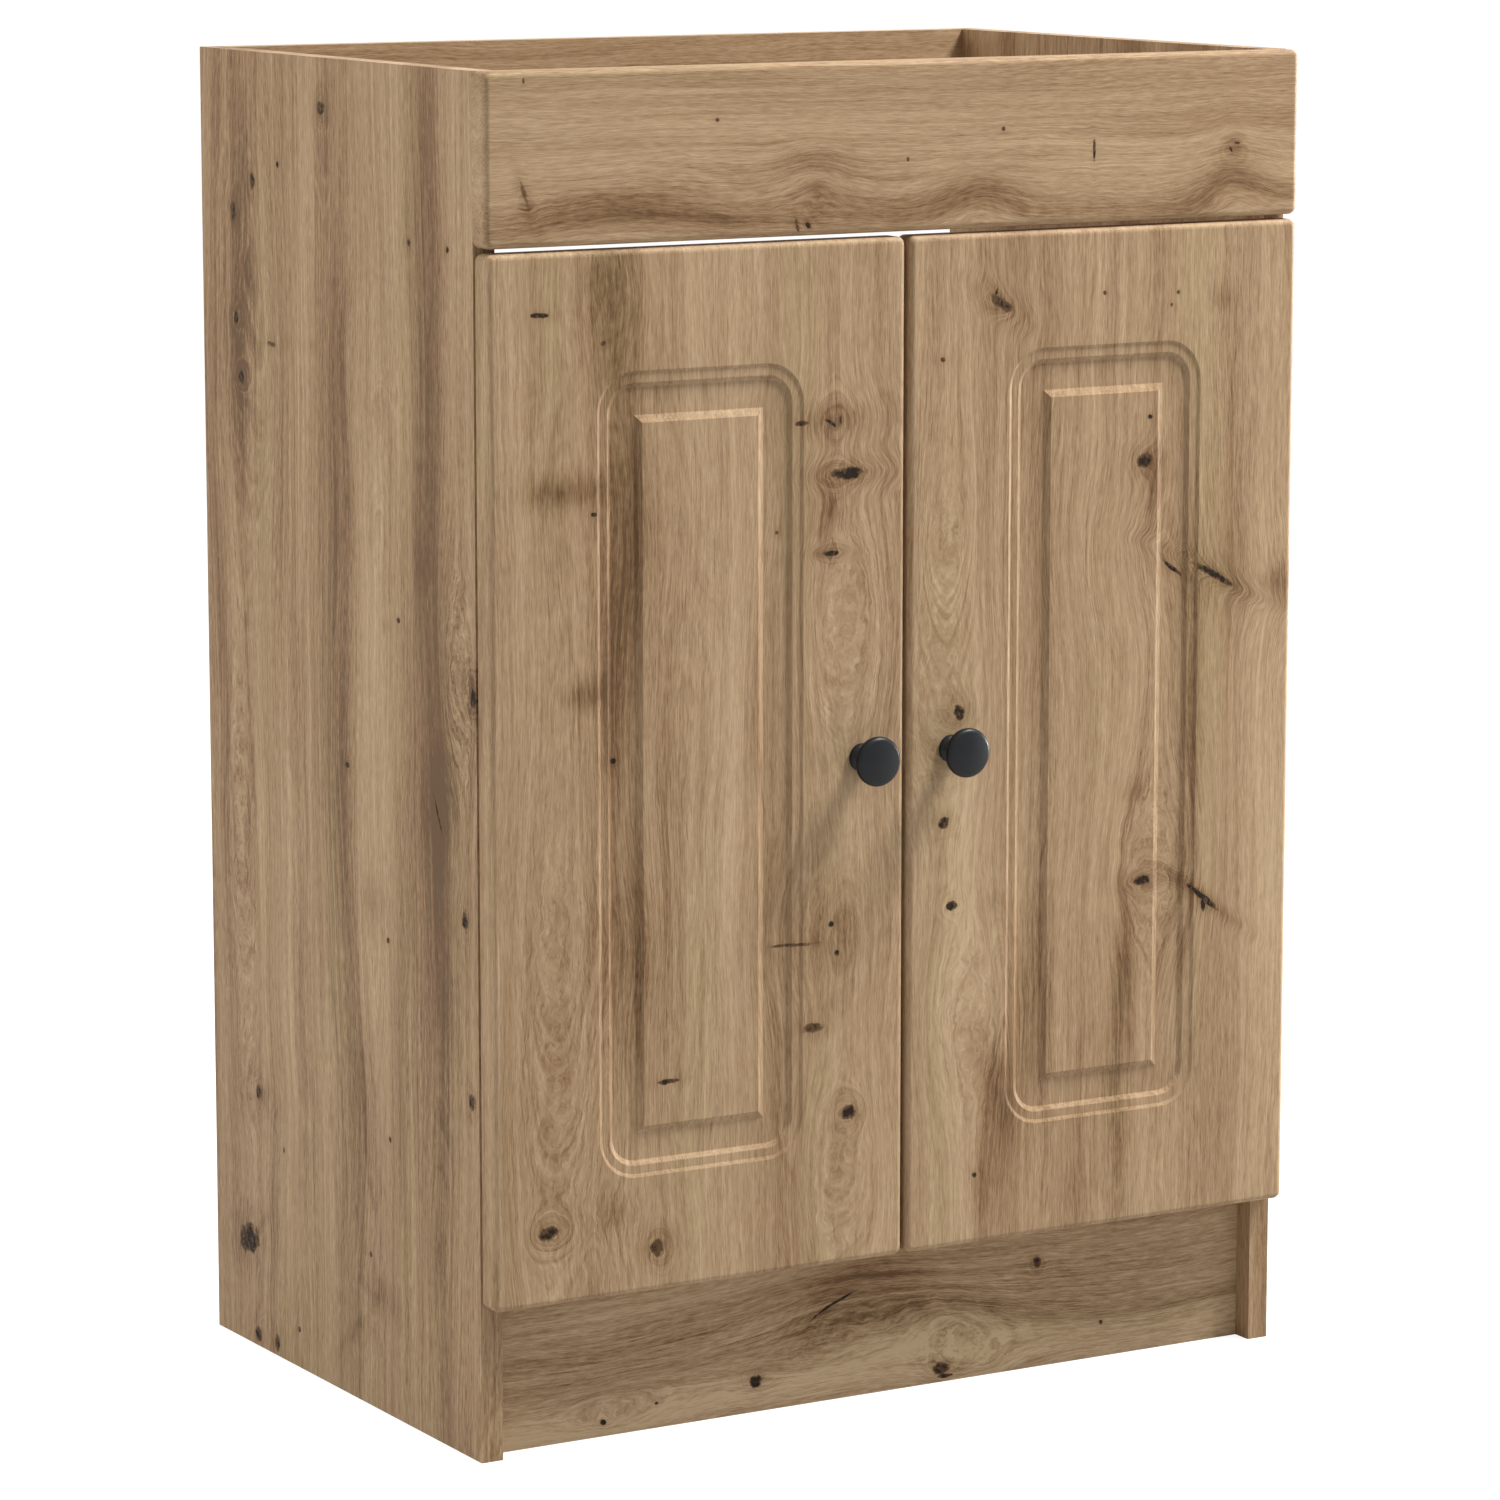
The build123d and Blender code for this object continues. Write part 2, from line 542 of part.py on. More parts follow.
def cup_pin(height):
    """The pin across a cup on which the cup link turns."""
    off_centre = CUP_FROM_EDGE - CUP_PIN_A
    inner = CUP_DIAMETER / 2 - FIT - CUP_WALL
    half = math.sqrt(inner ** 2 - (abs(off_centre) + PIN_DIAMETER / 2) ** 2) - FIT
    return rod(at_hinge(CUP_PIN_A, CUP_PIN_B, height - half), (0, 0, 1), PIN_DIAMETER / 2, 2 * half)


def swing_link(height):
    """Two plates on the arm's pin, joined by the rivet that carries the cup link."""
    start, end = (ARM_PIN_A, ARM_PIN_B), (LINK_PIN_A, LINK_PIN_B)
    half_gap = SWING_PLATE_GAP / 2
    link = rod(at_hinge(*end, height - half_gap - SWING_PLATE_THICKNESS), (0, 0, 1),
               PIN_DIAMETER / 2, SWING_PLATE_GAP + 2 * SWING_PLATE_THICKNESS)
    for level in (height + half_gap, height - half_gap - SWING_PLATE_THICKNESS):
        link += extrude(hinge_plane(level) * stadium(start, end), SWING_PLATE_THICKNESS)
    return link - rod(at_hinge(*start, height - CHEEK_GAP / 2), (0, 0, 1),
                      PIN_DIAMETER / 2 + PIN_FIT, CHEEK_GAP)


def stadium(start, end):
    """A flat link between two pins: two round hubs and the plate between them."""
    length = math.dist(start, end)
    angle = math.degrees(math.atan2(end[1] - start[1], end[0] - start[0]))
    middle = ((start[0] + end[0]) / 2, (start[1] + end[1]) / 2)
    return Pos(*middle) * Rot(0, 0, angle) * SlotCenterToCenter(length, 2 * LINK_HUB_RADIUS)


def cup_link(height):
    """A cranked link from the swing link's rivet into the cup, clear of the cup's rim."""
    start, end = (CUP_PIN_A, CUP_PIN_B), (LINK_PIN_A, LINK_PIN_B)
    length = math.dist(start, end)
    across = ((end[1] - start[1]) / length, (start[0] - end[0]) / length)
    crown = tuple((start[i] + end[i]) / 2 + across[i] * CUP_LINK_BULGE for i in (0, 1))
    spine = ThreePointArc(start, crown, end)
    plan = trace(spine, CUP_LINK_THICKNESS)
    for place in (start, end):
        plan += Pos(*place) * Circle(LINK_HUB_RADIUS)
    level = height - CUP_LINK_WIDTH / 2
    link = extrude(hinge_plane(level) * plan, CUP_LINK_WIDTH)
    for place in (start, end):
        link -= rod(at_hinge(*place, level), (0, 0, 1), PIN_DIAMETER / 2 + PIN_FIT, CUP_LINK_WIDTH)
    return link


def hinge_arm(height):
    """A folded steel arm: two cheeks that hold the pin, and a web over the plate."""
    front = CARCASS_B + ARM_PIN_FROM_FRONT - LINK_HUB_RADIUS
    web_from = CARCASS_B + ARM_WEB_START
    back = web_from + ARM_LENGTH
    shoulder = web_from + ARM_SHOULDER_START
    foot = SIDE_FACE_A + PLATE_WING_THICKNESS
    nose_foot = ARM_PIN_A - LINK_HUB_RADIUS
    cheek_outline = Polyline(
        (nose_foot, front + ARM_NOSE_CHAMFER), (nose_foot, shoulder),
        (foot, shoulder + ARM_SHOULDER_RUN), (foot, back), (ARM_TOP_A, back), (ARM_TOP_A, web_from),
        (ARM_PIN_A + LINK_HUB_RADIUS, front), (nose_foot + ARM_NOSE_CHAMFER, front), close=True)
    half = CHEEK_GAP / 2 + STEEL
    corner = at_hinge(PLATE_TOP_A, web_from, height)
    opposite = at_hinge(ARM_TOP_A, back, height)
    arm = board(corner[0], opposite[0], corner[1], opposite[1], height - half, height + half)
    for level in (height + CHEEK_GAP / 2, height - CHEEK_GAP / 2 - STEEL):
        arm += extrude(hinge_plane(level) * make_face(cheek_outline), STEEL)
    arm -= arm_pin_bore(height)
    arm -= rod(arm_screw_seat(height), (-1, 0, 0), ARM_SCREW_DIAMETER / 2, STEEL)
    return arm


def arm_pin(height):
    half = CHEEK_GAP / 2 + STEEL
    return rod(at_hinge(ARM_PIN_A, ARM_PIN_B, height - half), (0, 0, 1),
               PIN_DIAMETER / 2 - FIT, 2 * half)


def arm_pin_bore(height):
    half = CHEEK_GAP / 2 + STEEL
    return rod(at_hinge(ARM_PIN_A, ARM_PIN_B, height - half), (0, 0, 1), PIN_DIAMETER / 2, 2 * half)


def arm_screw_seat(height):
    return at_hinge(ARM_TOP_A, PLATE_CENTRE_B + ARM_SCREW_FROM_CENTRE, height)


def arm_screw(height):
    """The machine screw that clamps an arm on its plate."""
    shank = ARM_SCREW_DIAMETER / 2 - FIT
    return turned(arm_screw_seat(height), (-1, 0, 0), [
        (0, -ARM_SCREW_HEAD_HEIGHT), (ARM_SCREW_HEAD_CROWN / 2, -ARM_SCREW_HEAD_HEIGHT),
        (ARM_SCREW_HEAD_DIAMETER / 2, 0), (shank, 0),
        (shank, ARM_SCREW_LENGTH), (0, ARM_SCREW_LENGTH)])


def plate_screw_seats(height):
    return [at_hinge(SIDE_FACE_A + PLATE_WING_THICKNESS, PLATE_CENTRE_B,
                     height + step * PLATE_SCREW_SPACING / 2) for step in (-1, 1)]


def plate_screw_bores(height):
    return [pan_screw_bore(seat, (-1, 0, 0)) for seat in plate_screw_seats(height)]


def hinge_plate(height):
    """A cruciform mounting plate: two screwed wings and a raised body for the arm."""
    wing_face = Plane(origin=at_hinge(SIDE_FACE_A, PLATE_CENTRE_B, height),
                      x_dir=(0, 1, 0), z_dir=(1, 0, 0))
    plate = extrude(wing_face * RectangleRounded(PLATE_WING_WIDTH, PLATE_WING_LENGTH,
                                                 PLATE_WING_CORNER), PLATE_WING_THICKNESS)
    body_from = PLATE_CENTRE_B - PLATE_BODY_LENGTH / 2
    corner = at_hinge(SIDE_FACE_A, body_from, height)
    opposite = at_hinge(PLATE_TOP_A, body_from + PLATE_BODY_LENGTH, height)
    plate += board(corner[0], opposite[0], corner[1], opposite[1],
                   height - PLATE_BODY_WIDTH / 2, height + PLATE_BODY_WIDTH / 2)
    plate -= plate_screw_bores(height)
    plate -= rod(arm_screw_seat(height), (-1, 0, 0), ARM_SCREW_DIAMETER / 2,
                 ARM_SCREW_LENGTH + BORE_TIP)
    return plate


# ---------------------------------------------------------------- bumpers
def door_bumpers():
    """Thin stick-on pads that the closed doors rest against."""
    pads = []
    for side in SIDES.values():
        places = [(side * (HALF_WIDTH - BUMPER_SIDE_INSET), DOOR_TOP_Z - BUMPER_TOP_DROP),
                  (side * BUMPER_FROM_CENTRE, PLINTH_HEIGHT + BOARD / 2)]
        pads += [rod((x, CARCASS_FRONT_Y, z), (0, -1, 0), BUMPER_DIAMETER / 2, DOOR_STANDOFF)
                 for x, z in places]
    return pads


# ---------------------------------------------------------------- assembly
def assembly():
    nodes = {
        "bottom_panel": bottom_panel(),
        "plinth_board": plinth_board(),
        "back_top_rail": back_rail(
            "back_top_rail", CABINET_HEIGHT - BACK_TOP_RAIL_HEIGHT, CABINET_HEIGHT),
        "back_bottom_rail": back_rail(
            "back_bottom_rail", FLOOR_TOP_Z, FLOOR_TOP_Z + BACK_BOTTOM_RAIL_HEIGHT),
        "fascia_panel": fascia_panel(),
        "fascia_brackets": fascia_brackets(),
        "fascia_bracket_screws": fascia_bracket_screws(),
        "cam_locks": [cam_lock(joint) for joint in ALL_JOINTS],
        "cam_bolts": [cam_bolt(joint) for joint in ALL_JOINTS],
        "dowels": [dowel(joint["dowel"], joint["inward"]) for joint in ALL_JOINTS],
        "door_bumpers": door_bumpers(),
    }
    plate_screws, arm_screws, arm_pins = [], [], []
    for name, side in SIDES.items():
        nodes[f"side_{name}"] = side_panel(side)
        nodes[f"door_{name}"] = door(side)
        nodes[f"knob_{name}"] = knob(side)
        nodes[f"knob_screw_{name}"] = knob_screw(side)
        cup_screws, cup_pins = [], []
        for level, height in HINGE_HEIGHTS.items():
            place = f"{name}_{level}"
            nodes[f"hinge_cup_{place}"] = put(hinge_cup(height), side)
            nodes[f"cup_link_{place}"] = put(cup_link(height), side)
            nodes[f"swing_link_{place}"] = put(swing_link(height), side)
            nodes[f"hinge_arm_{place}"] = put(hinge_arm(height), side)
            nodes[f"hinge_plate_{place}"] = put(hinge_plate(height), side)
            cup_screws += [put(pan_screw(seat, (0, -1, 0)), side) for seat in cup_screw_seats(height)]
            cup_pins.append(put(cup_pin(height), side))
            plate_screws += [put(pan_screw(seat, (-1, 0, 0)), side)
                             for seat in plate_screw_seats(height)]
            arm_screws.append(put(arm_screw(height), side))
            arm_pins.append(put(arm_pin(height), side))
        nodes[f"hinge_cup_screws_{name}"] = cup_screws
        nodes[f"hinge_cup_pins_{name}"] = cup_pins
    nodes["hinge_plate_screws"] = plate_screws
    nodes["hinge_arm_screws"] = arm_screws
    nodes["hinge_arm_pins"] = arm_pins
    return nodes


def write_nodes():
    os.makedirs("parts", exist_ok=True)
    for name, shape in assembly().items():
        solids = shape if isinstance(shape, list) else [shape]
        node = Compound(children=[solid for piece in solids for solid in piece.solids()])
        export_step(node, f"parts/{name}.step")


write_nodes()
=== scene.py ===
import math

import bpy
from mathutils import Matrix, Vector


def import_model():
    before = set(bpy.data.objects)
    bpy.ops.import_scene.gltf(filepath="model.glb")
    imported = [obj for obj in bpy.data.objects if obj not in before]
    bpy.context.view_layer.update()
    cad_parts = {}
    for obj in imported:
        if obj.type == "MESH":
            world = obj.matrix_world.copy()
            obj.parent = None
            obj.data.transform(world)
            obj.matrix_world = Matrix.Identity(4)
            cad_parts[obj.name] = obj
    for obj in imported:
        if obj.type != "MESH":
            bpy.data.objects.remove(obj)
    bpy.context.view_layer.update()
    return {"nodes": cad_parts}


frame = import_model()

# Looks of the sink base cabinet: an oak print on every board, each with its own
# figure of bands and knots, powder-coated knobs and nickel-plated fittings. A few
# marks of the print are painted shade and painted light, noted where they stand.
# Metres, in the frame of the imported model. Figures and waves of a board are
# written as they lie on it: `along` the grain and `across` it, in millimetres.

MM = 0.001
nodes = frame["nodes"]


# ---------------------------------------------------------------- node graphs
class Graph:
    """Short calls for building a shader tree."""

    def __init__(self, tree):
        self.tree = tree

    def node(self, kind, **settings):
        made = self.tree.nodes.new(kind)
        for name, value in settings.items():
            setattr(made, name, value)
        return made

    def feed(self, socket, value):
        """A value or another node's output goes into a socket."""
        if isinstance(value, bpy.types.NodeSocket):
            self.tree.links.new(value, socket)
        else:
            socket.default_value = value

    def math(self, operation, *values):
        made = self.node("ShaderNodeMath", operation=operation)
        for socket, value in zip(made.inputs, values):
            self.feed(socket, value)
        return made.outputs[0]

    def vector(self, x, y, z):
        made = self.node("ShaderNodeCombineXYZ")
        for socket, value in zip(made.inputs, (x, y, z)):
            self.feed(socket, value)
        return made.outputs[0]

    def noise(self, place, detail, roughness=0.5):
        made = self.node("ShaderNodeTexNoise")
        self.feed(made.inputs["Vector"], place)
        made.inputs["Scale"].default_value = 1.0
        made.inputs["Detail"].default_value = detail
        made.inputs["Roughness"].default_value = roughness
        return made.outputs["Fac"]

    def window(self, value, low, high, to_low=0.0, to_high=1.0):
        """A smooth step from one value to another."""
        made = self.node("ShaderNodeMapRange", interpolation_type="SMOOTHSTEP")
        for name, given in (("Value", value), ("From Min", low), ("From Max", high),
                            ("To Min", to_low), ("To Max", to_high)):
            self.feed(made.inputs[name], given)
        return made.outputs["Result"]

    def ramp(self, value, stops):
        made = self.node("ShaderNodeValToRGB")
        band = made.color_ramp
        while len(band.elements) < len(stops):
            band.elements.new(0.5)
        for element, (place, colour) in zip(band.elements, stops):
            element.position = place
            element.color = (*colour, 1.0)
        self.feed(made.inputs["Fac"], value)
        return made.outputs["Color"]

    def mix(self, amount, first, second):
        made = self.node("ShaderNodeMix", data_type="RGBA")
        self.feed(made.inputs["Factor"], amount)
        # Sockets 6, 7 and 2 are the colours, among those for other kinds of data.
        self.feed(made.inputs[6], first)
        self.feed(made.inputs[7], second)
        return made.outputs[2]

    def bump(self, height, distance, strength):
        made = self.node("ShaderNodeBump")
        self.feed(made.inputs["Height"], height)
        made.inputs["Distance"].default_value = distance
        made.inputs["Strength"].default_value = strength
        return made.outputs["Normal"]


def srgb(red, green, blue):
    """A colour as it shows on a screen, 0 to 255, in linear light."""
    parts = []
    for value in (red, green, blue):
        share = value / 255
        parts.append(share / 12.92 if share <= 0.04045 else ((share + 0.055) / 1.055) ** 2.4)
    return tuple(parts)


def material(name):
    made = bpy.data.materials.new(name)
    made.use_nodes = True
    made.node_tree.nodes.clear()
    graph = Graph(made.node_tree)
    shader = graph.node("ShaderNodeBsdfPrincipled")
    output = graph.node("ShaderNodeOutputMaterial")
    graph.tree.links.new(shader.outputs[0], output.inputs["Surface"])
    return made, graph, shader


def paint(node, made):
    slots = nodes[node].data.materials
    slots.clear()
    slots.append(made)


# ---------------------------------------------------------------- oak print
# What figures add up to: a shift of the grain, rings round a knot, how much the grain
# swirls there, a brown shade (in a few places painted shade and painted light) and a dark pit.
FIGURE_OUTPUTS = ("Shift", "Ring", "Swirl", "Shade", "Pit")
FIGURE_INPUTS = ("Along", "Across", "Centre Along", "Centre Across", "Half Length", "Half Width",
                 "Tilt", "Bend", "Halo", "Core", "Fall", "Rough", *FIGURE_OUTPUTS)

BEND_FALL = 0.13             # how fast the bend of the grain fades away from a figure
RING_LIMIT = 0.42            # most bend that still draws more rings
SOFT_SHARE = 0.5             # of a smudge, the rest is patchy
CORE_EDGE = (0.2, 1.7)       # where a dark core starts to fade, and where it has gone


def figure_group():
    """One figure of the grain: it bends the grain, darkens a halo and may hold a dark
    core. Each figure adds its own to what the figures before it gave."""
    tree = bpy.data.node_groups.new("grain_figure", "ShaderNodeTree")
    for name in FIGURE_INPUTS:
        tree.interface.new_socket(name, in_out="INPUT", socket_type="NodeSocketFloat")
    for name in FIGURE_OUTPUTS:
        tree.interface.new_socket(name, in_out="OUTPUT", socket_type="NodeSocketFloat")
    graph = Graph(tree)
    given = graph.node("NodeGroupInput").outputs
    result = graph.node("NodeGroupOutput").inputs
    aside = graph.math("SUBTRACT", given["Across"], given["Centre Across"])
    ahead = graph.math("SUBTRACT", given["Along"], given["Centre Along"])
    leaned = graph.math("MULTIPLY_ADD", aside, given["Tilt"], ahead)
    p = graph.math("DIVIDE", leaned, given["Half Length"])
    q = graph.math("DIVIDE", aside, given["Half Width"])
    square = graph.math("MULTIPLY_ADD", p, p, graph.math("MULTIPLY", q, q))
    wide = graph.math("EXPONENT", graph.math("MULTIPLY", square, -BEND_FALL))
    bend = graph.math("MULTIPLY", given["Bend"], wide)
    pulled = graph.math("MULTIPLY", bend, aside)
    graph.feed(result["Shift"], graph.math("SUBTRACT", given["Shift"], pulled))
    ringed = graph.math("MULTIPLY", graph.math("MINIMUM", given["Bend"], RING_LIMIT), wide)
    graph.feed(result["Ring"], graph.math("ADD", given["Ring"], ringed))
    graph.feed(result["Swirl"], graph.math("ADD", given["Swirl"], bend))
    ragged = graph.math("ADD", square, given["Rough"])
    spread = graph.math("MULTIPLY", given["Fall"], -1.0)
    soft = graph.math("EXPONENT", graph.math("MULTIPLY", square, spread))
    patchy = graph.math("EXPONENT", graph.math("MULTIPLY", ragged, spread))
    smudge = graph.math("MULTIPLY_ADD", soft, SOFT_SHARE,
                        graph.math("MULTIPLY", patchy, 1.0 - SOFT_SHARE))
    graph.feed(result["Shade"], graph.math("MULTIPLY_ADD", given["Halo"], smudge, given["Shade"]))
    core = graph.window(ragged, *CORE_EDGE, given["Core"], 0.0)
    graph.feed(result["Pit"], graph.math("MAXIMUM", given["Pit"], core))
    return tree


FIGURE = figure_group()

OAK_TONE = 0.44
WOOD_STOPS = (
    (0.00, srgb(208, 181, 145)),
    (0.25, srgb(190, 161, 127)),
    (0.50, srgb(169, 139, 106)),
    (0.72, srgb(145, 114, 83)),
    (0.88, srgb(124, 95, 67)),
    (1.00, srgb(107, 80, 55)),
)
OLIVE_STOPS = (
    (0.00, srgb(202, 182, 140)),
    (0.50, srgb(166, 144, 103)),
    (1.00, srgb(104, 84, 54)),
)
SPOT_COLOUR = (*srgb(96, 72, 50), 1.0)
PIT_COLOUR = (*srgb(42, 34, 28), 1.0)
SPOT_STEP = (0.0, 0.5)       # of a pit's depth: where it turns brown, then nearly black
PIT_STEP = (0.55, 0.95)

# Patterns of noise: lumps to the metre along and across the grain, detail, roughness
# and offset.
PATTERNS = {
    "ragged": (150.0, 150.0, 3.0, 0.6, 1.7),
    "curl": (75.0, 110.0, 3.0, 0.6, 4.4),
    "contour": (2.2, 17.0, 0.6, 0.4, 5.9),
    "uneven": (30.0, 120.0, 2.0, 0.5, 6.5),
    "fibre": (95.0, 1150.0, 2.0, 0.7, 11.3),
    "streaks": (4.0, 210.0, 3.0, 0.65, 71.0),
    "mottle": (280.0, 330.0, 2.0, 0.6, 83.0),
}
# Patterns that show in places: the pattern, where it starts to show and shows in full,
# and how much it shows there, if not from 0 to 1.
PLACES = {
    "rings": ((2.7, 22.0, 2.0, 0.5, 17.0), (-0.06, 0.12, 0.14, 0.55)),
    "clusters": ((3.0, 34.0, 2.0, 0.5, 41.0), (-0.02, 0.14, 0.3, 1.0)),
    "pores": ((55.0, 1300.0, 2.0, 0.6, 23.0), (0.07, 0.17)),
    "strands": ((14.0, 800.0, 2.0, 0.6, 53.0), (0.10, 0.20)),
    "veins": ((11.0, 560.0, 2.0, 0.6, 61.0), (0.05, 0.20)),
    "olive": ((1.3, 21.0, 1.0, 0.5, 31.0), (0.02, 0.20, 0.0, 0.35)),
}
# How the grain wanders: a pattern, and its reach in metres.
WANDERS = (
    ((2.2, 9.0, 2.0, 0.5, 0.0), 0.028),
    ((6.0, 28.0, 2.0, 0.5, 2.9), 0.008),
    ((15.0, 60.0, 2.0, 0.5, 8.1), 0.004),
)
# Layers of bands and streaks, from broad to fine: a pattern, and how much it darkens.
LAYERS = (
    ((1.1, 13.0, 2.0, 0.5, 0.0), 0.70),
    ((1.8, 46.0, 3.0, 0.6, 3.1), 0.56),
    ((3.2, 150.0, 3.0, 0.6, 7.7), 0.42),
    ((5.0, 430.0, 3.0, 0.7, 9.2), 0.58),
)
FIBRE_SHARE, PORE_SHARE, VEIN_SHARE, STRAND_SHARE = 0.86, 0.17, 0.08, -0.10
VEIN_SPREAD = 0.25           # veins outside the clusters of pores

SMUDGE_FALL = 0.45           # how fast a smudge fades, and a knot's halo, which is wider
CORE_FALL = 0.15
RAGGED_DEPTH = 3.2           # how ragged the edge of a core or smudge is
SHADE_SHARE = 0.95           # how much the figures' shade darkens the print
SHADE_LIMIT = 0.55
STREAK_DEPTH = 1.5           # and how streaked it is
MOTTLE_DEPTH = 2.2           # how uneven the dark of a pit is
SWIRL_LIMIT = 0.6
CURL_REACH = 0.010           # metres by which the grain curls round a knot

RING_DENSITY = 62.0          # ring noise's lumps to one step of the contour
RINGS_ALONG = 4.0            # and to the metre along the grain
RING_NOISE = (3.0, 0.65)     # detail and roughness
KNOT_RINGS = 0.30            # how strongly a knot bends the rings round itself
UNEVEN_RINGS = 0.02
SWIRL_RINGS = 1.1            # how much more the rings show where the grain swirls

GLOSS_LEVEL = 0.10
DULLNESS = 0.50
FIBRE_DULLNESS, PIT_DULLNESS = 0.25, 0.2
RELIEF = 0.00012
RELIEF_STRENGTH = 0.6
FIBRE_HEIGHT, PORE_HEIGHT, PIT_HEIGHT, MIDDLE_HEIGHT = 0.8, -1.0, -1.5, 0.5


def oak(name, grain, across, seed, figures, waves=(), tone_and_painted_light=0.0, strength=1.0):
    """The oak print of one board. `grain` and `across` are the board's axes,
    `tone_and_painted_light` darkens it (below zero it lightens), as the board's own tone on
    most boards and as painted light on the plinth and painted shade on side_right, and
    `strength` is the contrast of its layers."""
    made, graph, shader = material(name)
    split = graph.node("ShaderNodeSeparateXYZ")
    graph.feed(split.inputs[0], graph.node("ShaderNodeTexCoord").outputs["Object"])
    axes = dict(zip("XYZ", split.outputs))
    third = next(letter for letter in "XYZ" if letter not in (grain, across))
    along, side, deep = axes[grain], axes[across], axes[third]

    def scaled(value, factor, plus):
        return graph.math("MULTIPLY_ADD", value, factor, plus)

    def pattern(cross, long, wide, detail, roughness, offset):
        """Noise, 0 in the middle, so many lumps to the metre along and across the grain."""
        spot = graph.vector(scaled(along, long, seed + offset),
                            graph.math("MULTIPLY", cross, wide),
                            graph.math("MULTIPLY", deep, wide))
        return graph.math("SUBTRACT", graph.noise(spot, detail, roughness), 0.5)

    def in_places(cross, name):
        place, step = PLACES[name]
        return graph.window(pattern(cross, *place), *step)

    # The grain wanders, waves and bends round the figures.
    flowing = side
    for place, reach in WANDERS:
        flowing = scaled(pattern(side, *place), reach, flowing)
    for centre, aside, length, width, lift in waves:
        p = scaled(along, 1 / (length * MM), -centre / length)
        q = scaled(side, 1 / (width * MM), -aside / width)
        square = graph.math("MULTIPLY_ADD", p, p, graph.math("MULTIPLY", q, q))
        hump = graph.math("EXPONENT", graph.math("MULTIPLY", square, -1.0))
        flowing = scaled(hump, -lift * MM, flowing)
    rough = graph.math("MULTIPLY", pattern(side, *PATTERNS["ragged"]), RAGGED_DEPTH)
    sums = dict.fromkeys(FIGURE_OUTPUTS, 0.0)
    for centre, aside, length, width, tilt, bend, halo, core in figures:
        knot = graph.node("ShaderNodeGroup", node_tree=FIGURE)
        values = (along, flowing, centre * MM, aside * MM, length * MM, width * MM, tilt,
                  bend, halo, core, CORE_FALL if core else SMUDGE_FALL, rough, *sums.values())
        for socket_name, value in zip(FIGURE_INPUTS, values):
            graph.feed(knot.inputs[socket_name], value)
        sums = {out: knot.outputs[out] for out in FIGURE_OUTPUTS}
    swirl = graph.math("MINIMUM", sums["Swirl"], SWIRL_LIMIT)
    curl = graph.math("MULTIPLY", pattern(side, *PATTERNS["curl"]), CURL_REACH)
    grained = graph.math("ADD", flowing, sums["Shift"])
    grained = graph.math("MULTIPLY_ADD", curl, swirl, grained)

    # Growth rings follow a contour that rises round knots.
    contour = scaled(sums["Ring"], KNOT_RINGS, pattern(grained, *PATTERNS["contour"]))
    contour = scaled(pattern(grained, *PATTERNS["uneven"]), UNEVEN_RINGS, contour)
    ring_place = graph.vector(graph.math("MULTIPLY", contour, RING_DENSITY),
                              graph.math("MULTIPLY", along, RINGS_ALONG), seed)
    rings = graph.math("SUBTRACT", graph.noise(ring_place, *RING_NOISE), 0.5)
    rings = graph.math("MULTIPLY", rings,
                       scaled(swirl, SWIRL_RINGS, in_places(grained, "rings")))

    # Fibre, pores and veins run along the grain.
    fibre = pattern(grained, *PATTERNS["fibre"])
    clusters = in_places(grained, "clusters")
    pores = graph.math("MULTIPLY", in_places(grained, "pores"), clusters)
    strands = in_places(grained, "strands")
    veins = graph.math("MULTIPLY", in_places(grained, "veins"),
                       graph.math("ADD", clusters, VEIN_SPREAD))

    # All of it adds up to how dark the print is.
    streaked = scaled(pattern(grained, *PATTERNS["streaks"]), STREAK_DEPTH, 1.0)
    shaded = graph.math("MULTIPLY", graph.math("MINIMUM", sums["Shade"], SHADE_LIMIT), streaked)
    shaded = graph.math("MULTIPLY", shaded, SHADE_SHARE)
    dark = graph.math("ADD", graph.math("ADD", shaded, rings), OAK_TONE + tone_and_painted_light)
    parts = [(pattern(grained, *place), share) for place, share in LAYERS]
    parts += [(fibre, FIBRE_SHARE), (pores, PORE_SHARE), (veins, VEIN_SHARE),
              (strands, STRAND_SHARE)]
    for part, share in parts:
        dark = scaled(part, share * strength, dark)
    colour = graph.ramp(dark, WOOD_STOPS)
    colour = graph.mix(in_places(grained, "olive"), colour, graph.ramp(dark, OLIVE_STOPS))
    mottled = scaled(pattern(side, *PATTERNS["mottle"]), MOTTLE_DEPTH, 1.0)
    pit = graph.math("MULTIPLY", sums["Pit"], mottled)
    colour = graph.mix(graph.window(pit, *SPOT_STEP), colour, SPOT_COLOUR)
    colour = graph.mix(graph.window(pit, *PIT_STEP), colour, PIT_COLOUR)
    graph.feed(shader.inputs["Base Color"], colour)

    dull = scaled(fibre, FIBRE_DULLNESS, DULLNESS)
    graph.feed(shader.inputs["Roughness"], scaled(pit, PIT_DULLNESS, dull))
    shader.inputs["Specular IOR Level"].default_value = GLOSS_LEVEL
    height = scaled(pores, PORE_HEIGHT, scaled(fibre, FIBRE_HEIGHT, MIDDLE_HEIGHT))
    height = scaled(pit, PIT_HEIGHT, height)
    graph.feed(shader.inputs["Normal"], graph.bump(height, RELIEF, RELIEF_STRENGTH))
    return made
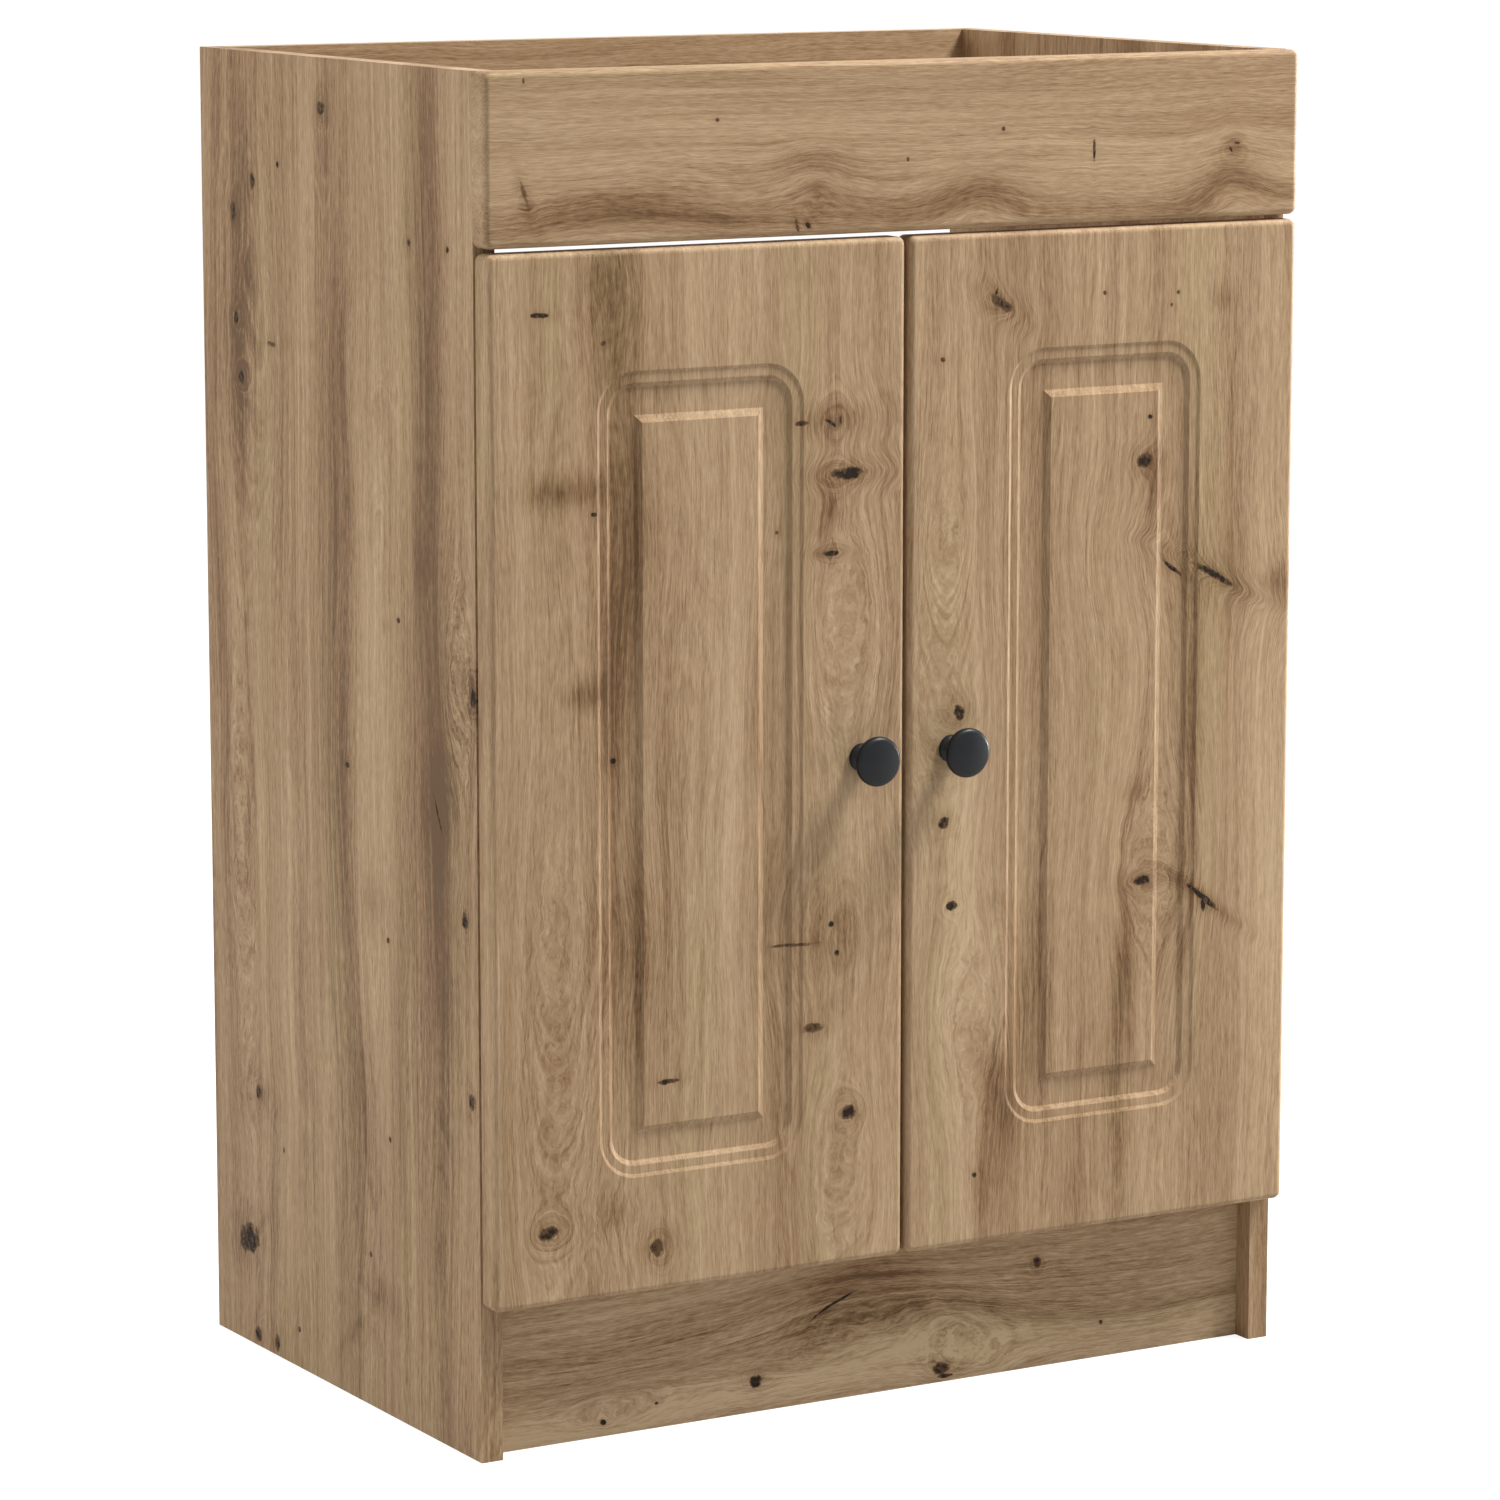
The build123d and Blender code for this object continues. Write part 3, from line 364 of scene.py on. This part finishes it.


# Figures of each board: centre along and across the grain, half length, half
# width, tilt, bend of the grain, halo and core. A halo below zero lightens. Most
# figures are the print's own marks; those noted below are painted shade and painted light.
LEFT_DOOR = [
    (480, -275, 250, 22, 0, 0, -0.14, 0),
    # Painted shade: these five lay a dark band down the left groove of the moulding, the grain's
    # own dark band there darkened further to the recess's shade.
    (725, -213, 42, 11, 0, 0, 0.26, 0),
    (590, -205, 75, 12, 0, 0, 0.40, 0),
    (495, -208, 60, 8, 0, 0, 0.32, 0),
    (325, -200, 42, 15, 0, 0.15, 0.30, 0),
    (245, -197, 60, 4, 0, 0, 0.18, 0),
    (737, -216, 14, 8, 0, 0.30, 0.16, 0),
    (720, -259, 1.6, 6, 0, 0, 0.10, 0.95),
    (701, -217, 1.58, 1.58, 0, 0, 0.10, 0.8),
    (611, -245, 7, 18, 0, 0.05, 0.42, 0),
    (596, -225, 1.3, 1.87, 0, 0, 0.10, 0.8),
    (484, -232, 7, 11, 0, 0.05, 0.40, 0),
    (441, -210, 1.58, 2.16, 0, 0, 0.10, 0.9),
    (265, -252, 56, 11, 0, 0.80, 0.03, 0),
    (645, -54, 7, 15, 0, 0.30, 0.42, 0),
    (643, -57, 1.2, 4, 0.5, 0, 0.05, 0.9),
    (645, -49, 3, 1.3, 0.4, 0, 0.05, 0.9),
    (644, -80, 1.5, 5, 0, 0, 0.08, 0.6),
    (611, -44, 3.6, 12, 0, 0.50, 0.30, 1.10),
    (590, -58, 12, 9, -0.5, 0, 0.36, 0),
    (561, -57, 1.6, 6, 0, 0.40, 0.30, 0.90),
    (508, -43, 30, 13, 0, 0.95, 0.02, 0),
    (576, -97, 1.3, 1.44, 0, 0, 0.08, 0.6),
    (318, -52, 22, 20, 0, 0.40, 0.32, 0),
    (323, -58, 1.87, 2.16, 0, 0, 0.05, 0.85),
    (304, -53, 1.58, 1.87, 0, 0, 0.05, 0.8),
    (312, -84, 1.2, 14, 0, 0, 0.05, 0.45),
    (271, -50, 7, 10, 0, 0, 0.18, 0),
    (257, -70, 3, 7, 0, 0, 0.16, 0.55),
    (199, -41, 4, 4.5, 0, 0.45, 0.22, 0.9),
    (160, -46, 26, 10, 0, 0.90, 0.02, 0),
    (234, -171, 1.6, 7, 0, 0, 0.10, 0.8),
    (147, -255, 4.5, 5.5, 0, 0.5, 0.24, 0.85),
    (155, -210, 8, 9, 0, 0.1, 0.20, 0),
    (128, -179, 5, 6, 0, 0.35, 0.26, 0.7),
    (140, -205, 26, 20, 0.6, 0.30, 0.06, 0),
]
RIGHT_DOOR = [
    (450, 38, 260, 22, 0, 0, -0.12, 0),
    (610, 254, 85, 8, 0, 0, 0.20, 0),
    (410, 217, 95, 5, 0, 0, 0.36, 0),
    (262, 171, 34, 7, 0, 0, 0.50, 0),
    (175, 168, 52, 6, 0, 0, 0.42, 0),
    (250, 99, 42, 6, 0, 0, 0.32, 0),
    (713, 66, 4, 8, 0.5, 0.50, 0.26, 0.7),
    (720, 62, 2.16, 1.44, -0.6, 0, 0.0, 0.9),
    (679, 21, 1.58, 1.73, 0, 0, 0.10, 0.8),
    (716, 144, 1.3, 1.3, 0, 0, 0.08, 0.55),
    (706, 197, 1.3, 1.3, 0, 0, 0.08, 0.55),
    (714, 202, 1.15, 1.15, 0, 0, 0.08, 0.5),
    (709, 238, 6, 8, 0, 0, 0.20, 0),
    (634, 182, 1.58, 1.87, 0, 0, 0.10, 0.85),
    (606, 177, 4.5, 5, 0, 0.4, 0.26, 0.95),
    (585, 182, 18, 5, -0.2, 0, 0.28, 0),
    (534, 198, 1.6, 7, 0.7, 0, 0.14, 0.85),
    (528, 233, 2.4, 17, 0.42, 0.30, 0.18, 0.95),
    (530, 230, 16, 28, 0.2, 0.30, 0.18, 0),
    (518, 290, 9, 8, 0, 0, 0.40, 0),
    (452, 38, 4.5, 5, 0, 0.45, 0.26, 0.9),
    (452, 26, 22, 10, 0, 1.10, 0.04, 0),
    (545, 27, 26, 8, 0, 0.90, 0.03, 0),
    (381, 27, 3.5, 4.5, 0, 0.2, 0.20, 0.85),
    (326, 33, 3, 4, 0, 0.5, 0.18, 0.85),
    (390, 178, 6, 8, 0, 0, 0.20, 0),
    (329, 183, 3, 6, 0, 0.45, 0.36, 1.00),
    (338, 190, 22, 11, 0, 1.10, 0.05, 0),
    (313, 229, 2.2, 13, 0.65, 0.20, 0.34, 1.10),
    (309, 230, 5, 2, 0.9, 0.10, 0.20, 1.00),
    (248, 45, 26, 12, 0, 0.90, 0.10, 0),
    (205, 68, 22, 14, 0.9, 0.1, 0.46, 0),
    (145, 58, 36, 8, -0.6, 0, 0.32, 0),
    (146, 52, 1.73, 2.16, 0, 0, 0.10, 0.8),
]
FASCIA = [
    (0, 771, 320, 5, 0, 0, 0.16, 0),
    (190, 835, 120, 20, 0, 0, -0.12, 0),
    (-240, 774, 75, 9, 0.0, 0, 0.20, 0),
    (-190, 780, 45, 9, 0.0, 0.25, 0.16, 0),
    (-125, 768, 40, 5, 2.5, 0, 0.16, 0),
    (-62, 800, 34, 9, 2.2, 0.0, 0.26, 0),
    (-68, 785, 8, 9, 0, 0.2, 0.16, 0),
    (-20, 772, 42, 7, 0, 0, 0.16, 0),
    (55, 782, 26, 8, 0, 0.25, 0.22, 0),
    (62, 770, 34, 5, 0, 0, 0.14, 0),
    (248, 800, 6, 9, 0, 0.35, 0.34, 0),
    (246, 797, 1, 3, 0.3, 0, 0.05, 0.8),
    (251, 803, 2.4, 1, 0.3, 0, 0.05, 0.7),
    (248, 785, 22, 9, 0, 0.10, 0.22, 0),
    (216, 766, 26, 9, -1.6, 0.1, 0.16, 0),
    (120, 762, 60, 8, -1.5, 0.1, 0.10, 0),
    (140, 805, 1.1, 8, 0, 0.1, 0.06, 0.75),
    (-73, 765, 2, 2.2, 0.4, 0.2, 0.10, 1.0),
    (-81, 765, 1.2, 4, 0.2, 0, 0.06, 0.7),
    (71, 822, 1.44, 1.73, 0, 0.1, 0.08, 0.6),
    (0, 803, 1.08, 1.8, 0, 0, 0.06, 0.5),
    (-273, 790, 1.8, 8, 0.3, 0.1, 0.20, 0.38),
    (-273, 864, 0.94, 2.16, 0, 0, 0.08, 0.6),
    (-138, 833, 1.3, 1.3, 0, 0, 0.08, 0.5),
]
PLINTH = [
    # Painted light: a lighter strip along the bottom of the plinth, below the doors' shade.
    (0, 14, 300, 13, 0, 0, -0.15, 0),
    (-205, 11, 2.16, 2.16, 0, 0.35, 0.14, 0.95),
    (-198, 20, 16, 6, 0, 1.10, 0.04, 0),
    (-92, 18, 4, 4, 0, 0.40, 0.24, 1.0),
    (-72, 24, 24, 6, -1.2, 0.1, 0.20, 0),
    (-166, 18, 1.3, 1.08, 0, 0, 0.06, 0.7),
    (-160, 55, 110, 14, -0.8, 0, 0.28, 0),
    (-15, 58, 32, 17, -0.5, 0.10, 0.52, 0),
    (-10, 76, 18, 7, 0, 0, 0.12, 0),
    (-34, 54, 2.6, 7, -2.1, 0.0, 0.06, 1.3),
    (-18, 40, 22, 9, -0.8, 0.40, 0.06, 0),
    (49, 8, 6, 4, 0, 0.40, 0.28, 0.85),
    (52, 2, 5, 1.6, 0, 0, 0.10, 1.0),
    (66, 22, 14, 9, 0.4, 1.20, 0.04, 0),
    (80, 58, 60, 16, 0.6, 0, 0.22, 0),
    (210, 58, 80, 22, 0.4, 0, 0.24, 0),
    (124, 73, 3, 3.5, 0, 0.4, 0.22, 0.8),
    (175, 26, 1.3, 1.73, 0, 0, 0.08, 0.7),
]
SIDE = [
    (790, -118, 90, 13, 0, 0, 0.20, 0),
    (560, -116, 170, 15, 0, 0, 0.26, 0),
    (250, -119, 190, 14, 0, 0, 0.24, 0),
    (412, -113, 24, 18, 0.3, 0.15, 0.24, 0),
    (405, -117, 2.6, 6, -1.8, 0, 0.06, 0.9),
    (558, -103, 12, 8, 0, 0, 0.16, 0),
    (668, 6, 70, 11, 0, 0.15, 0.20, 0),
    (520, 14, 90, 18, 0, 0, 0.18, 0),
    (370, 10, 75, 11, 0, 0, 0.24, 0),
    (195, -8, 62, 19, 0, 0.15, 0.34, 0),
    (60, -8, 75, 18, 0, 0, 0.24, 0),
    (800, 155, 70, 9, 0, 0, 0.24, 0),
    (672, 155, 42, 16, 0, 0.40, 0.32, 0),
    (784, 136, 5, 4, 0, 0.2, 0.16, 0.8),
    (763, 161, 6, 4, 0, 0.2, 0.16, 0.8),
    (725, 145, 8, 6, 0, 0.1, 0.18, 0),
    (693, 158, 4, 3.5, 0, 0.3, 0.14, 0.85),
    (655, 152, 4, 3.5, 0, 0.4, 0.14, 0.85),
    (560, 156, 110, 8, 0, 0, 0.18, 0),
    (836, 38, 4, 5, 0, 0.2, 0.18, 0.75),
    (758, -141, 2.16, 1.87, 0, 0, 0.10, 0.8),
    (759, -89, 2.16, 1.87, 0, 0, 0.10, 0.7),
    (797, 102, 1.87, 1.73, 0, 0, 0.08, 0.7),
    (680, 113, 1.8, 5, 0, 0, 0.08, 0.6),
    (521, -67, 1.87, 1.87, 0, 0, 0.08, 0.7),
    (648, -41, 9, 6, 0, 0.3, 0.16, 0),
    (577, -39, 9, 6, 0, 0.3, 0.18, 0),
    (485, -167, 6, 4, 0, 0.45, 0.22, 1.0),
    (495, -150, 26, 10, 0, 1.10, 0.05, 0),
    (418, 0, 2.16, 2.16, 0, 0.3, 0.12, 0.85),
    (343, -155, 5, 3.5, 0, 0.35, 0.18, 0.95),
    (230, -161, 5, 3.5, 0, 0.35, 0.18, 0.9),
    (335, -28, 12, 10, 0, 0, 0.22, 0),
    (313, -48, 1.87, 1.87, 0, 0, 0.08, 0.75),
    (183, -48, 1.87, 1.87, 0, 0, 0.08, 0.75),
    (101, -16, 2.02, 2.02, 0, 0, 0.08, 0.75),
    (77, -39, 9, 19, -0.2, 0.1, 0.20, 0),
    (46, 5, 5, 20, 0.8, 0, 0.16, 0),
    (330, 168, 48, 9, 0, 1.20, 0.05, 0),
    (175, 152, 14, 16, 0, 0.30, 0.20, 0),
    (176, 152, 4, 4, 0, 0.2, 0.06, 0.85),
    (72, 168, 9, 12, 0.2, 0.30, 0.26, 1.0),
    (8, 155, 5, 4, 0, 0.2, 0.16, 0.9),
    (9, 128, 5, 4, 0, 0.2, 0.16, 0.8),
    (144, 115, 1.87, 1.73, 0, 0, 0.08, 0.7),
    (26, 95, 1.87, 1.73, 0, 0, 0.08, 0.7),
]
OTHER_SIDE = [
    # Painted shadow: dark at the foot of the front edge, where the door above shades it.
    (40, -196, 70, 8, 0, 0, 0.30, 0),
    (480, -150, 420, 11, 0, 0, 0.26, 0),
    (600, -20, 260, 12, 0, 0, 0.22, 0),
    (250, 60, 230, 15, 0, 0, 0.26, 0),
    (520, 130, 360, 10, 0, 0, 0.20, 0),
    (700, -140, 18, 12, 0, 0.45, 0.2, 0.4),
    (560, -25, 7, 4, 0, 0.3, 0.2, 0.8),
    (330, 66, 12, 5, 0, 0.4, 0.25, 0.9),
    (820, 20, 5, 4, 0, 0.2, 0.2, 0.6),
    (190, -130, 9, 4, 0, 0.3, 0.2, 0.8),
    (90, 120, 6, 4, 0, 0.2, 0.2, 0.7),
]
BACK_TOP = [
    (-120, 812, 120, 9, 0, 0, 0.22, 0),
    (90, 800, 8, 9, 0, 0.5, 0.25, 0.5),
    (150, 845, 90, 7, 0, 0, 0.18, 0),
]
BACK_BOTTOM = [
    (-60, 160, 140, 12, 0, 0, 0.24, 0),
    (110, 178, 7, 7, 0, 0.5, 0.25, 0.7),
    (-190, 195, 5, 5, 0, 0.4, 0.25, 0.8),
]
BOTTOM = [
    (-90, 60, 190, 20, 0, 0, 0.25, 0),
    (140, -70, 160, 18, 0, 0, 0.25, 0),
    (-150, -60, 9, 8, 0, 0.5, 0.25, 0.7),
    (60, 110, 8, 7, 0, 0.5, 0.25, 0.8),
]

# Waves of each board's grain: centre along and across, length, width and lift.
LEFT_WAVES = [(575, -200, 60, 25, 4), (465, -205, 50, 22, -4), (325, -200, 45, 25, 6)]
RIGHT_WAVES = [(600, 252, 90, 20, 4), (250, 172, 60, 20, -4), (420, 120, 110, 40, 7)]
FASCIA_WAVES = [(55, 778, 30, 20, 9), (248, 786, 24, 26, 13), (-205, 776, 60, 24, 7),
                (-68, 798, 26, 20, 8), (-15, 776, 40, 16, -3)]
PLINTH_WAVES = [(-20, 60, 60, 34, 9), (190, 55, 110, 40, -6), (-215, 45, 90, 30, -7)]
SIDE_WAVES = [(665, 8, 80, 24, 5), (440, 25, 100, 34, 9), (190, -8, 70, 30, -7),
              (560, -112, 90, 30, 4), (250, -118, 110, 30, -5), (680, 152, 50, 26, 4)]

# Boards: node, material, axes along and across the grain, seed, figures, waves, tone
# (painted light on the plinth, painted shade on side_right) and strength.
BOARDS = (
    ("door_left", "oak_door_left", "Z", "X", 4.3, LEFT_DOOR, LEFT_WAVES),
    ("door_right", "oak_door_right", "Z", "X", 19.7, RIGHT_DOOR, RIGHT_WAVES),
    ("fascia_panel", "oak_fascia", "X", "Z", 33.1, FASCIA, FASCIA_WAVES),
    # Painted light: the plinth's print is toned lighter, against the doors' shade on it.
    ("plinth_board", "oak_plinth", "X", "Z", 47.9, PLINTH, PLINTH_WAVES, -0.19, 1.45),
    ("side_left", "oak_side_left", "Z", "Y", 61.3, SIDE, SIDE_WAVES, 0.03, 1.25),
    # Painted shade: side_right's print is toned darker than side_left's.
    ("side_right", "oak_side_right", "Z", "Y", 73.9, OTHER_SIDE, (), 0.07),
    ("back_top_rail", "oak_back_top", "X", "Z", 88.7, BACK_TOP),
    ("back_bottom_rail", "oak_back_bottom", "X", "Z", 97.1, BACK_BOTTOM),
    ("bottom_panel", "oak_floor", "X", "Y", 109.9, BOTTOM),
)


def dress_boards():
    for node, *board in BOARDS:
        paint(node, oak(*board))


# ---------------------------------------------------------------- fittings
def fitting(name, light, dark, scale, roughness, metal=0.0, detail=3.0, gloss=None,
            relief=None):
    """A fitting's surface: a fine grain between two colours. `scale` is lumps to the
    metre along each axis, `roughness` the least and how much more the grain adds, and
    `relief` a height in metres and a strength."""
    made, graph, shader = material(name)
    place = graph.node("ShaderNodeTexCoord").outputs["Object"]
    fine = graph.node("ShaderNodeVectorMath", operation="MULTIPLY")
    graph.feed(fine.inputs[0], place)
    fine.inputs[1].default_value = scale
    grain = graph.noise(fine.outputs[0], detail)
    graph.feed(shader.inputs["Base Color"], graph.mix(grain, (*light, 1.0), (*dark, 1.0)))
    least, more = roughness
    graph.feed(shader.inputs["Roughness"], graph.math("MULTIPLY_ADD", grain, more, least))
    shader.inputs["Metallic"].default_value = metal
    if gloss is not None:
        shader.inputs["Specular IOR Level"].default_value = gloss
    if relief is not None:
        graph.feed(shader.inputs["Normal"], graph.bump(grain, *relief))
    return made


DRAWN_OUT = 0.15
PLATED = {"metal": 1.0, "relief": (0.00003, 0.4)}


def even(scale):
    return scale, scale, scale


def drawn(scale):
    """A grain drawn out along Y, as on plated sheet metal."""
    return scale, scale * DRAWN_OUT, scale


def dress_fittings():
    # Anthracite powder coat: dark, softly satin, with a faint orange peel.
    coat = fitting("powder_coat", srgb(22, 23, 25), srgb(32, 33, 35), even(900.0),
                   (0.32, 0.12), detail=2.0, gloss=0.2, relief=(0.00005, 0.5))
    nickel = fitting("nickel", srgb(205, 205, 203), srgb(180, 180, 178), drawn(600.0),
                     (0.22, 0.14), **PLATED)
    steel = fitting("zinc_steel", srgb(190, 190, 188), srgb(160, 160, 158), drawn(600.0),
                    (0.30, 0.14), **PLATED)
    zinc = fitting("cast_zinc", srgb(170, 170, 170), srgb(140, 140, 140), drawn(300.0),
                   (0.42, 0.14), **PLATED)
    beech = fitting("beech", srgb(214, 182, 138), srgb(196, 160, 114), even(400.0),
                    (0.6, 0.1))
    pad = fitting("clear_pad", srgb(222, 222, 218), srgb(208, 208, 204), even(700.0),
                  (0.35, 0.1))
    for node in nodes:
        if any(word in node for word in ("screw", "pins", "cam_bolts")):
            paint(node, steel)
        elif node.startswith("knob_"):
            paint(node, coat)
        elif node.startswith(("hinge_", "swing_link", "cup_link", "fascia_brackets")):
            paint(node, nickel)
        elif node == "cam_locks":
            paint(node, zinc)
        elif node == "dowels":
            paint(node, beech)
        elif node == "door_bumpers":
            paint(node, pad)


# ---------------------------------------------------------------- room, lights and camera
CAMERA_PLACE = Vector((-1.9243, -3.2854, 1.0356))
CAMERA_YAW = math.radians(30.293)
CAMERA_PITCH = math.radians(9.424)
CAMERA_LENS = 138.99
SENSOR_WIDTH = 36.0
LAMP_TARGET = Vector((0, 0, 0.45))
# Lamps: name, direction from the target, distance, size in metres and power in watts.
LAMPS = (
    ("key_high", (0.50, -0.28, 0.83), 4.0, 1.3, 224),
    ("rim_right", (0.99, -0.08, 0.02), 4.0, 0.8, 150),
    ("side_left", (-0.93, 0.25, 0.28), 4.0, 1.8, 62),
)
FLOOR_SIZE = 60.0
FLOOR_WHITE = 0.40
FLOOR_GLOW = 0.86            # what the floor shows to the camera besides its lit white
AMBIENT = 0.41               # the room's light on the object


def camera():
    data = bpy.data.cameras.new("camera")
    data.lens = CAMERA_LENS
    data.sensor_width = SENSOR_WIDTH
    made = bpy.data.objects.new("camera", data)
    made.location = CAMERA_PLACE
    made.rotation_euler = (math.pi / 2 - CAMERA_PITCH, 0, -CAMERA_YAW)
    bpy.context.scene.collection.objects.link(made)
    bpy.context.scene.camera = made


def area_light(name, direction, distance, size, power):
    """A soft lamp that shines on the cabinet from a direction."""
    data = bpy.data.lights.new(name, "AREA")
    data.shape = "DISK"
    data.size = size
    data.energy = power
    made = bpy.data.objects.new(name, data)
    away = Vector(direction).normalized()
    made.location = LAMP_TARGET + away * distance
    made.rotation_mode = "QUATERNION"
    made.rotation_quaternion = away.to_track_quat("Z", "Y")
    made.visible_camera = False
    bpy.context.scene.collection.objects.link(made)


def lights():
    for lamp in LAMPS:
        area_light(*lamp)


def seen_white(graph):
    """1 for rays that look at the room from the camera, or by way of gloss or glass."""
    path = graph.node("ShaderNodeLightPath")
    seen = graph.math("MAXIMUM", path.outputs["Is Camera Ray"], path.outputs["Is Glossy Ray"])
    return graph.math("MAXIMUM", seen, path.outputs["Is Transmission Ray"])


def world():
    made = bpy.data.worlds.new("room")
    made.use_nodes = True
    graph = Graph(made.node_tree)
    made.node_tree.nodes.clear()
    light = graph.node("ShaderNodeBackground")
    output = graph.node("ShaderNodeOutputWorld")
    graph.tree.links.new(light.outputs[0], output.inputs["Surface"])
    light.inputs["Color"].default_value = (1, 1, 1, 1)
    graph.feed(light.inputs["Strength"], graph.math(
        "MULTIPLY_ADD", seen_white(graph), 1.0 - AMBIENT, AMBIENT))
    bpy.context.scene.world = made


def floor():
    half = FLOOR_SIZE / 2
    mesh = bpy.data.meshes.new("floor")
    mesh.from_pydata([(-half, -half, 0), (half, -half, 0), (half, half, 0), (-half, half, 0)], [],
                     [(0, 1, 2, 3)])
    made = bpy.data.objects.new("floor", mesh)
    bpy.context.scene.collection.objects.link(made)
    look = bpy.data.materials.new("floor_white")
    look.use_nodes = True
    look.node_tree.nodes.clear()
    graph = Graph(look.node_tree)
    matt = graph.node("ShaderNodeBsdfDiffuse")
    matt.inputs["Color"].default_value = (FLOOR_WHITE, FLOOR_WHITE, FLOOR_WHITE, 1)
    glow = graph.node("ShaderNodeEmission")
    graph.feed(glow.inputs["Strength"], graph.math("MULTIPLY", seen_white(graph), FLOOR_GLOW))
    both = graph.node("ShaderNodeAddShader")
    graph.tree.links.new(matt.outputs[0], both.inputs[0])
    graph.tree.links.new(glow.outputs[0], both.inputs[1])
    output = graph.node("ShaderNodeOutputMaterial")
    graph.tree.links.new(both.outputs[0], output.inputs["Surface"])
    mesh.materials.append(look)


dress_boards()
dress_fittings()
camera()
lights()
world()
floor()
bpy.context.scene.view_settings.view_transform = "Standard"
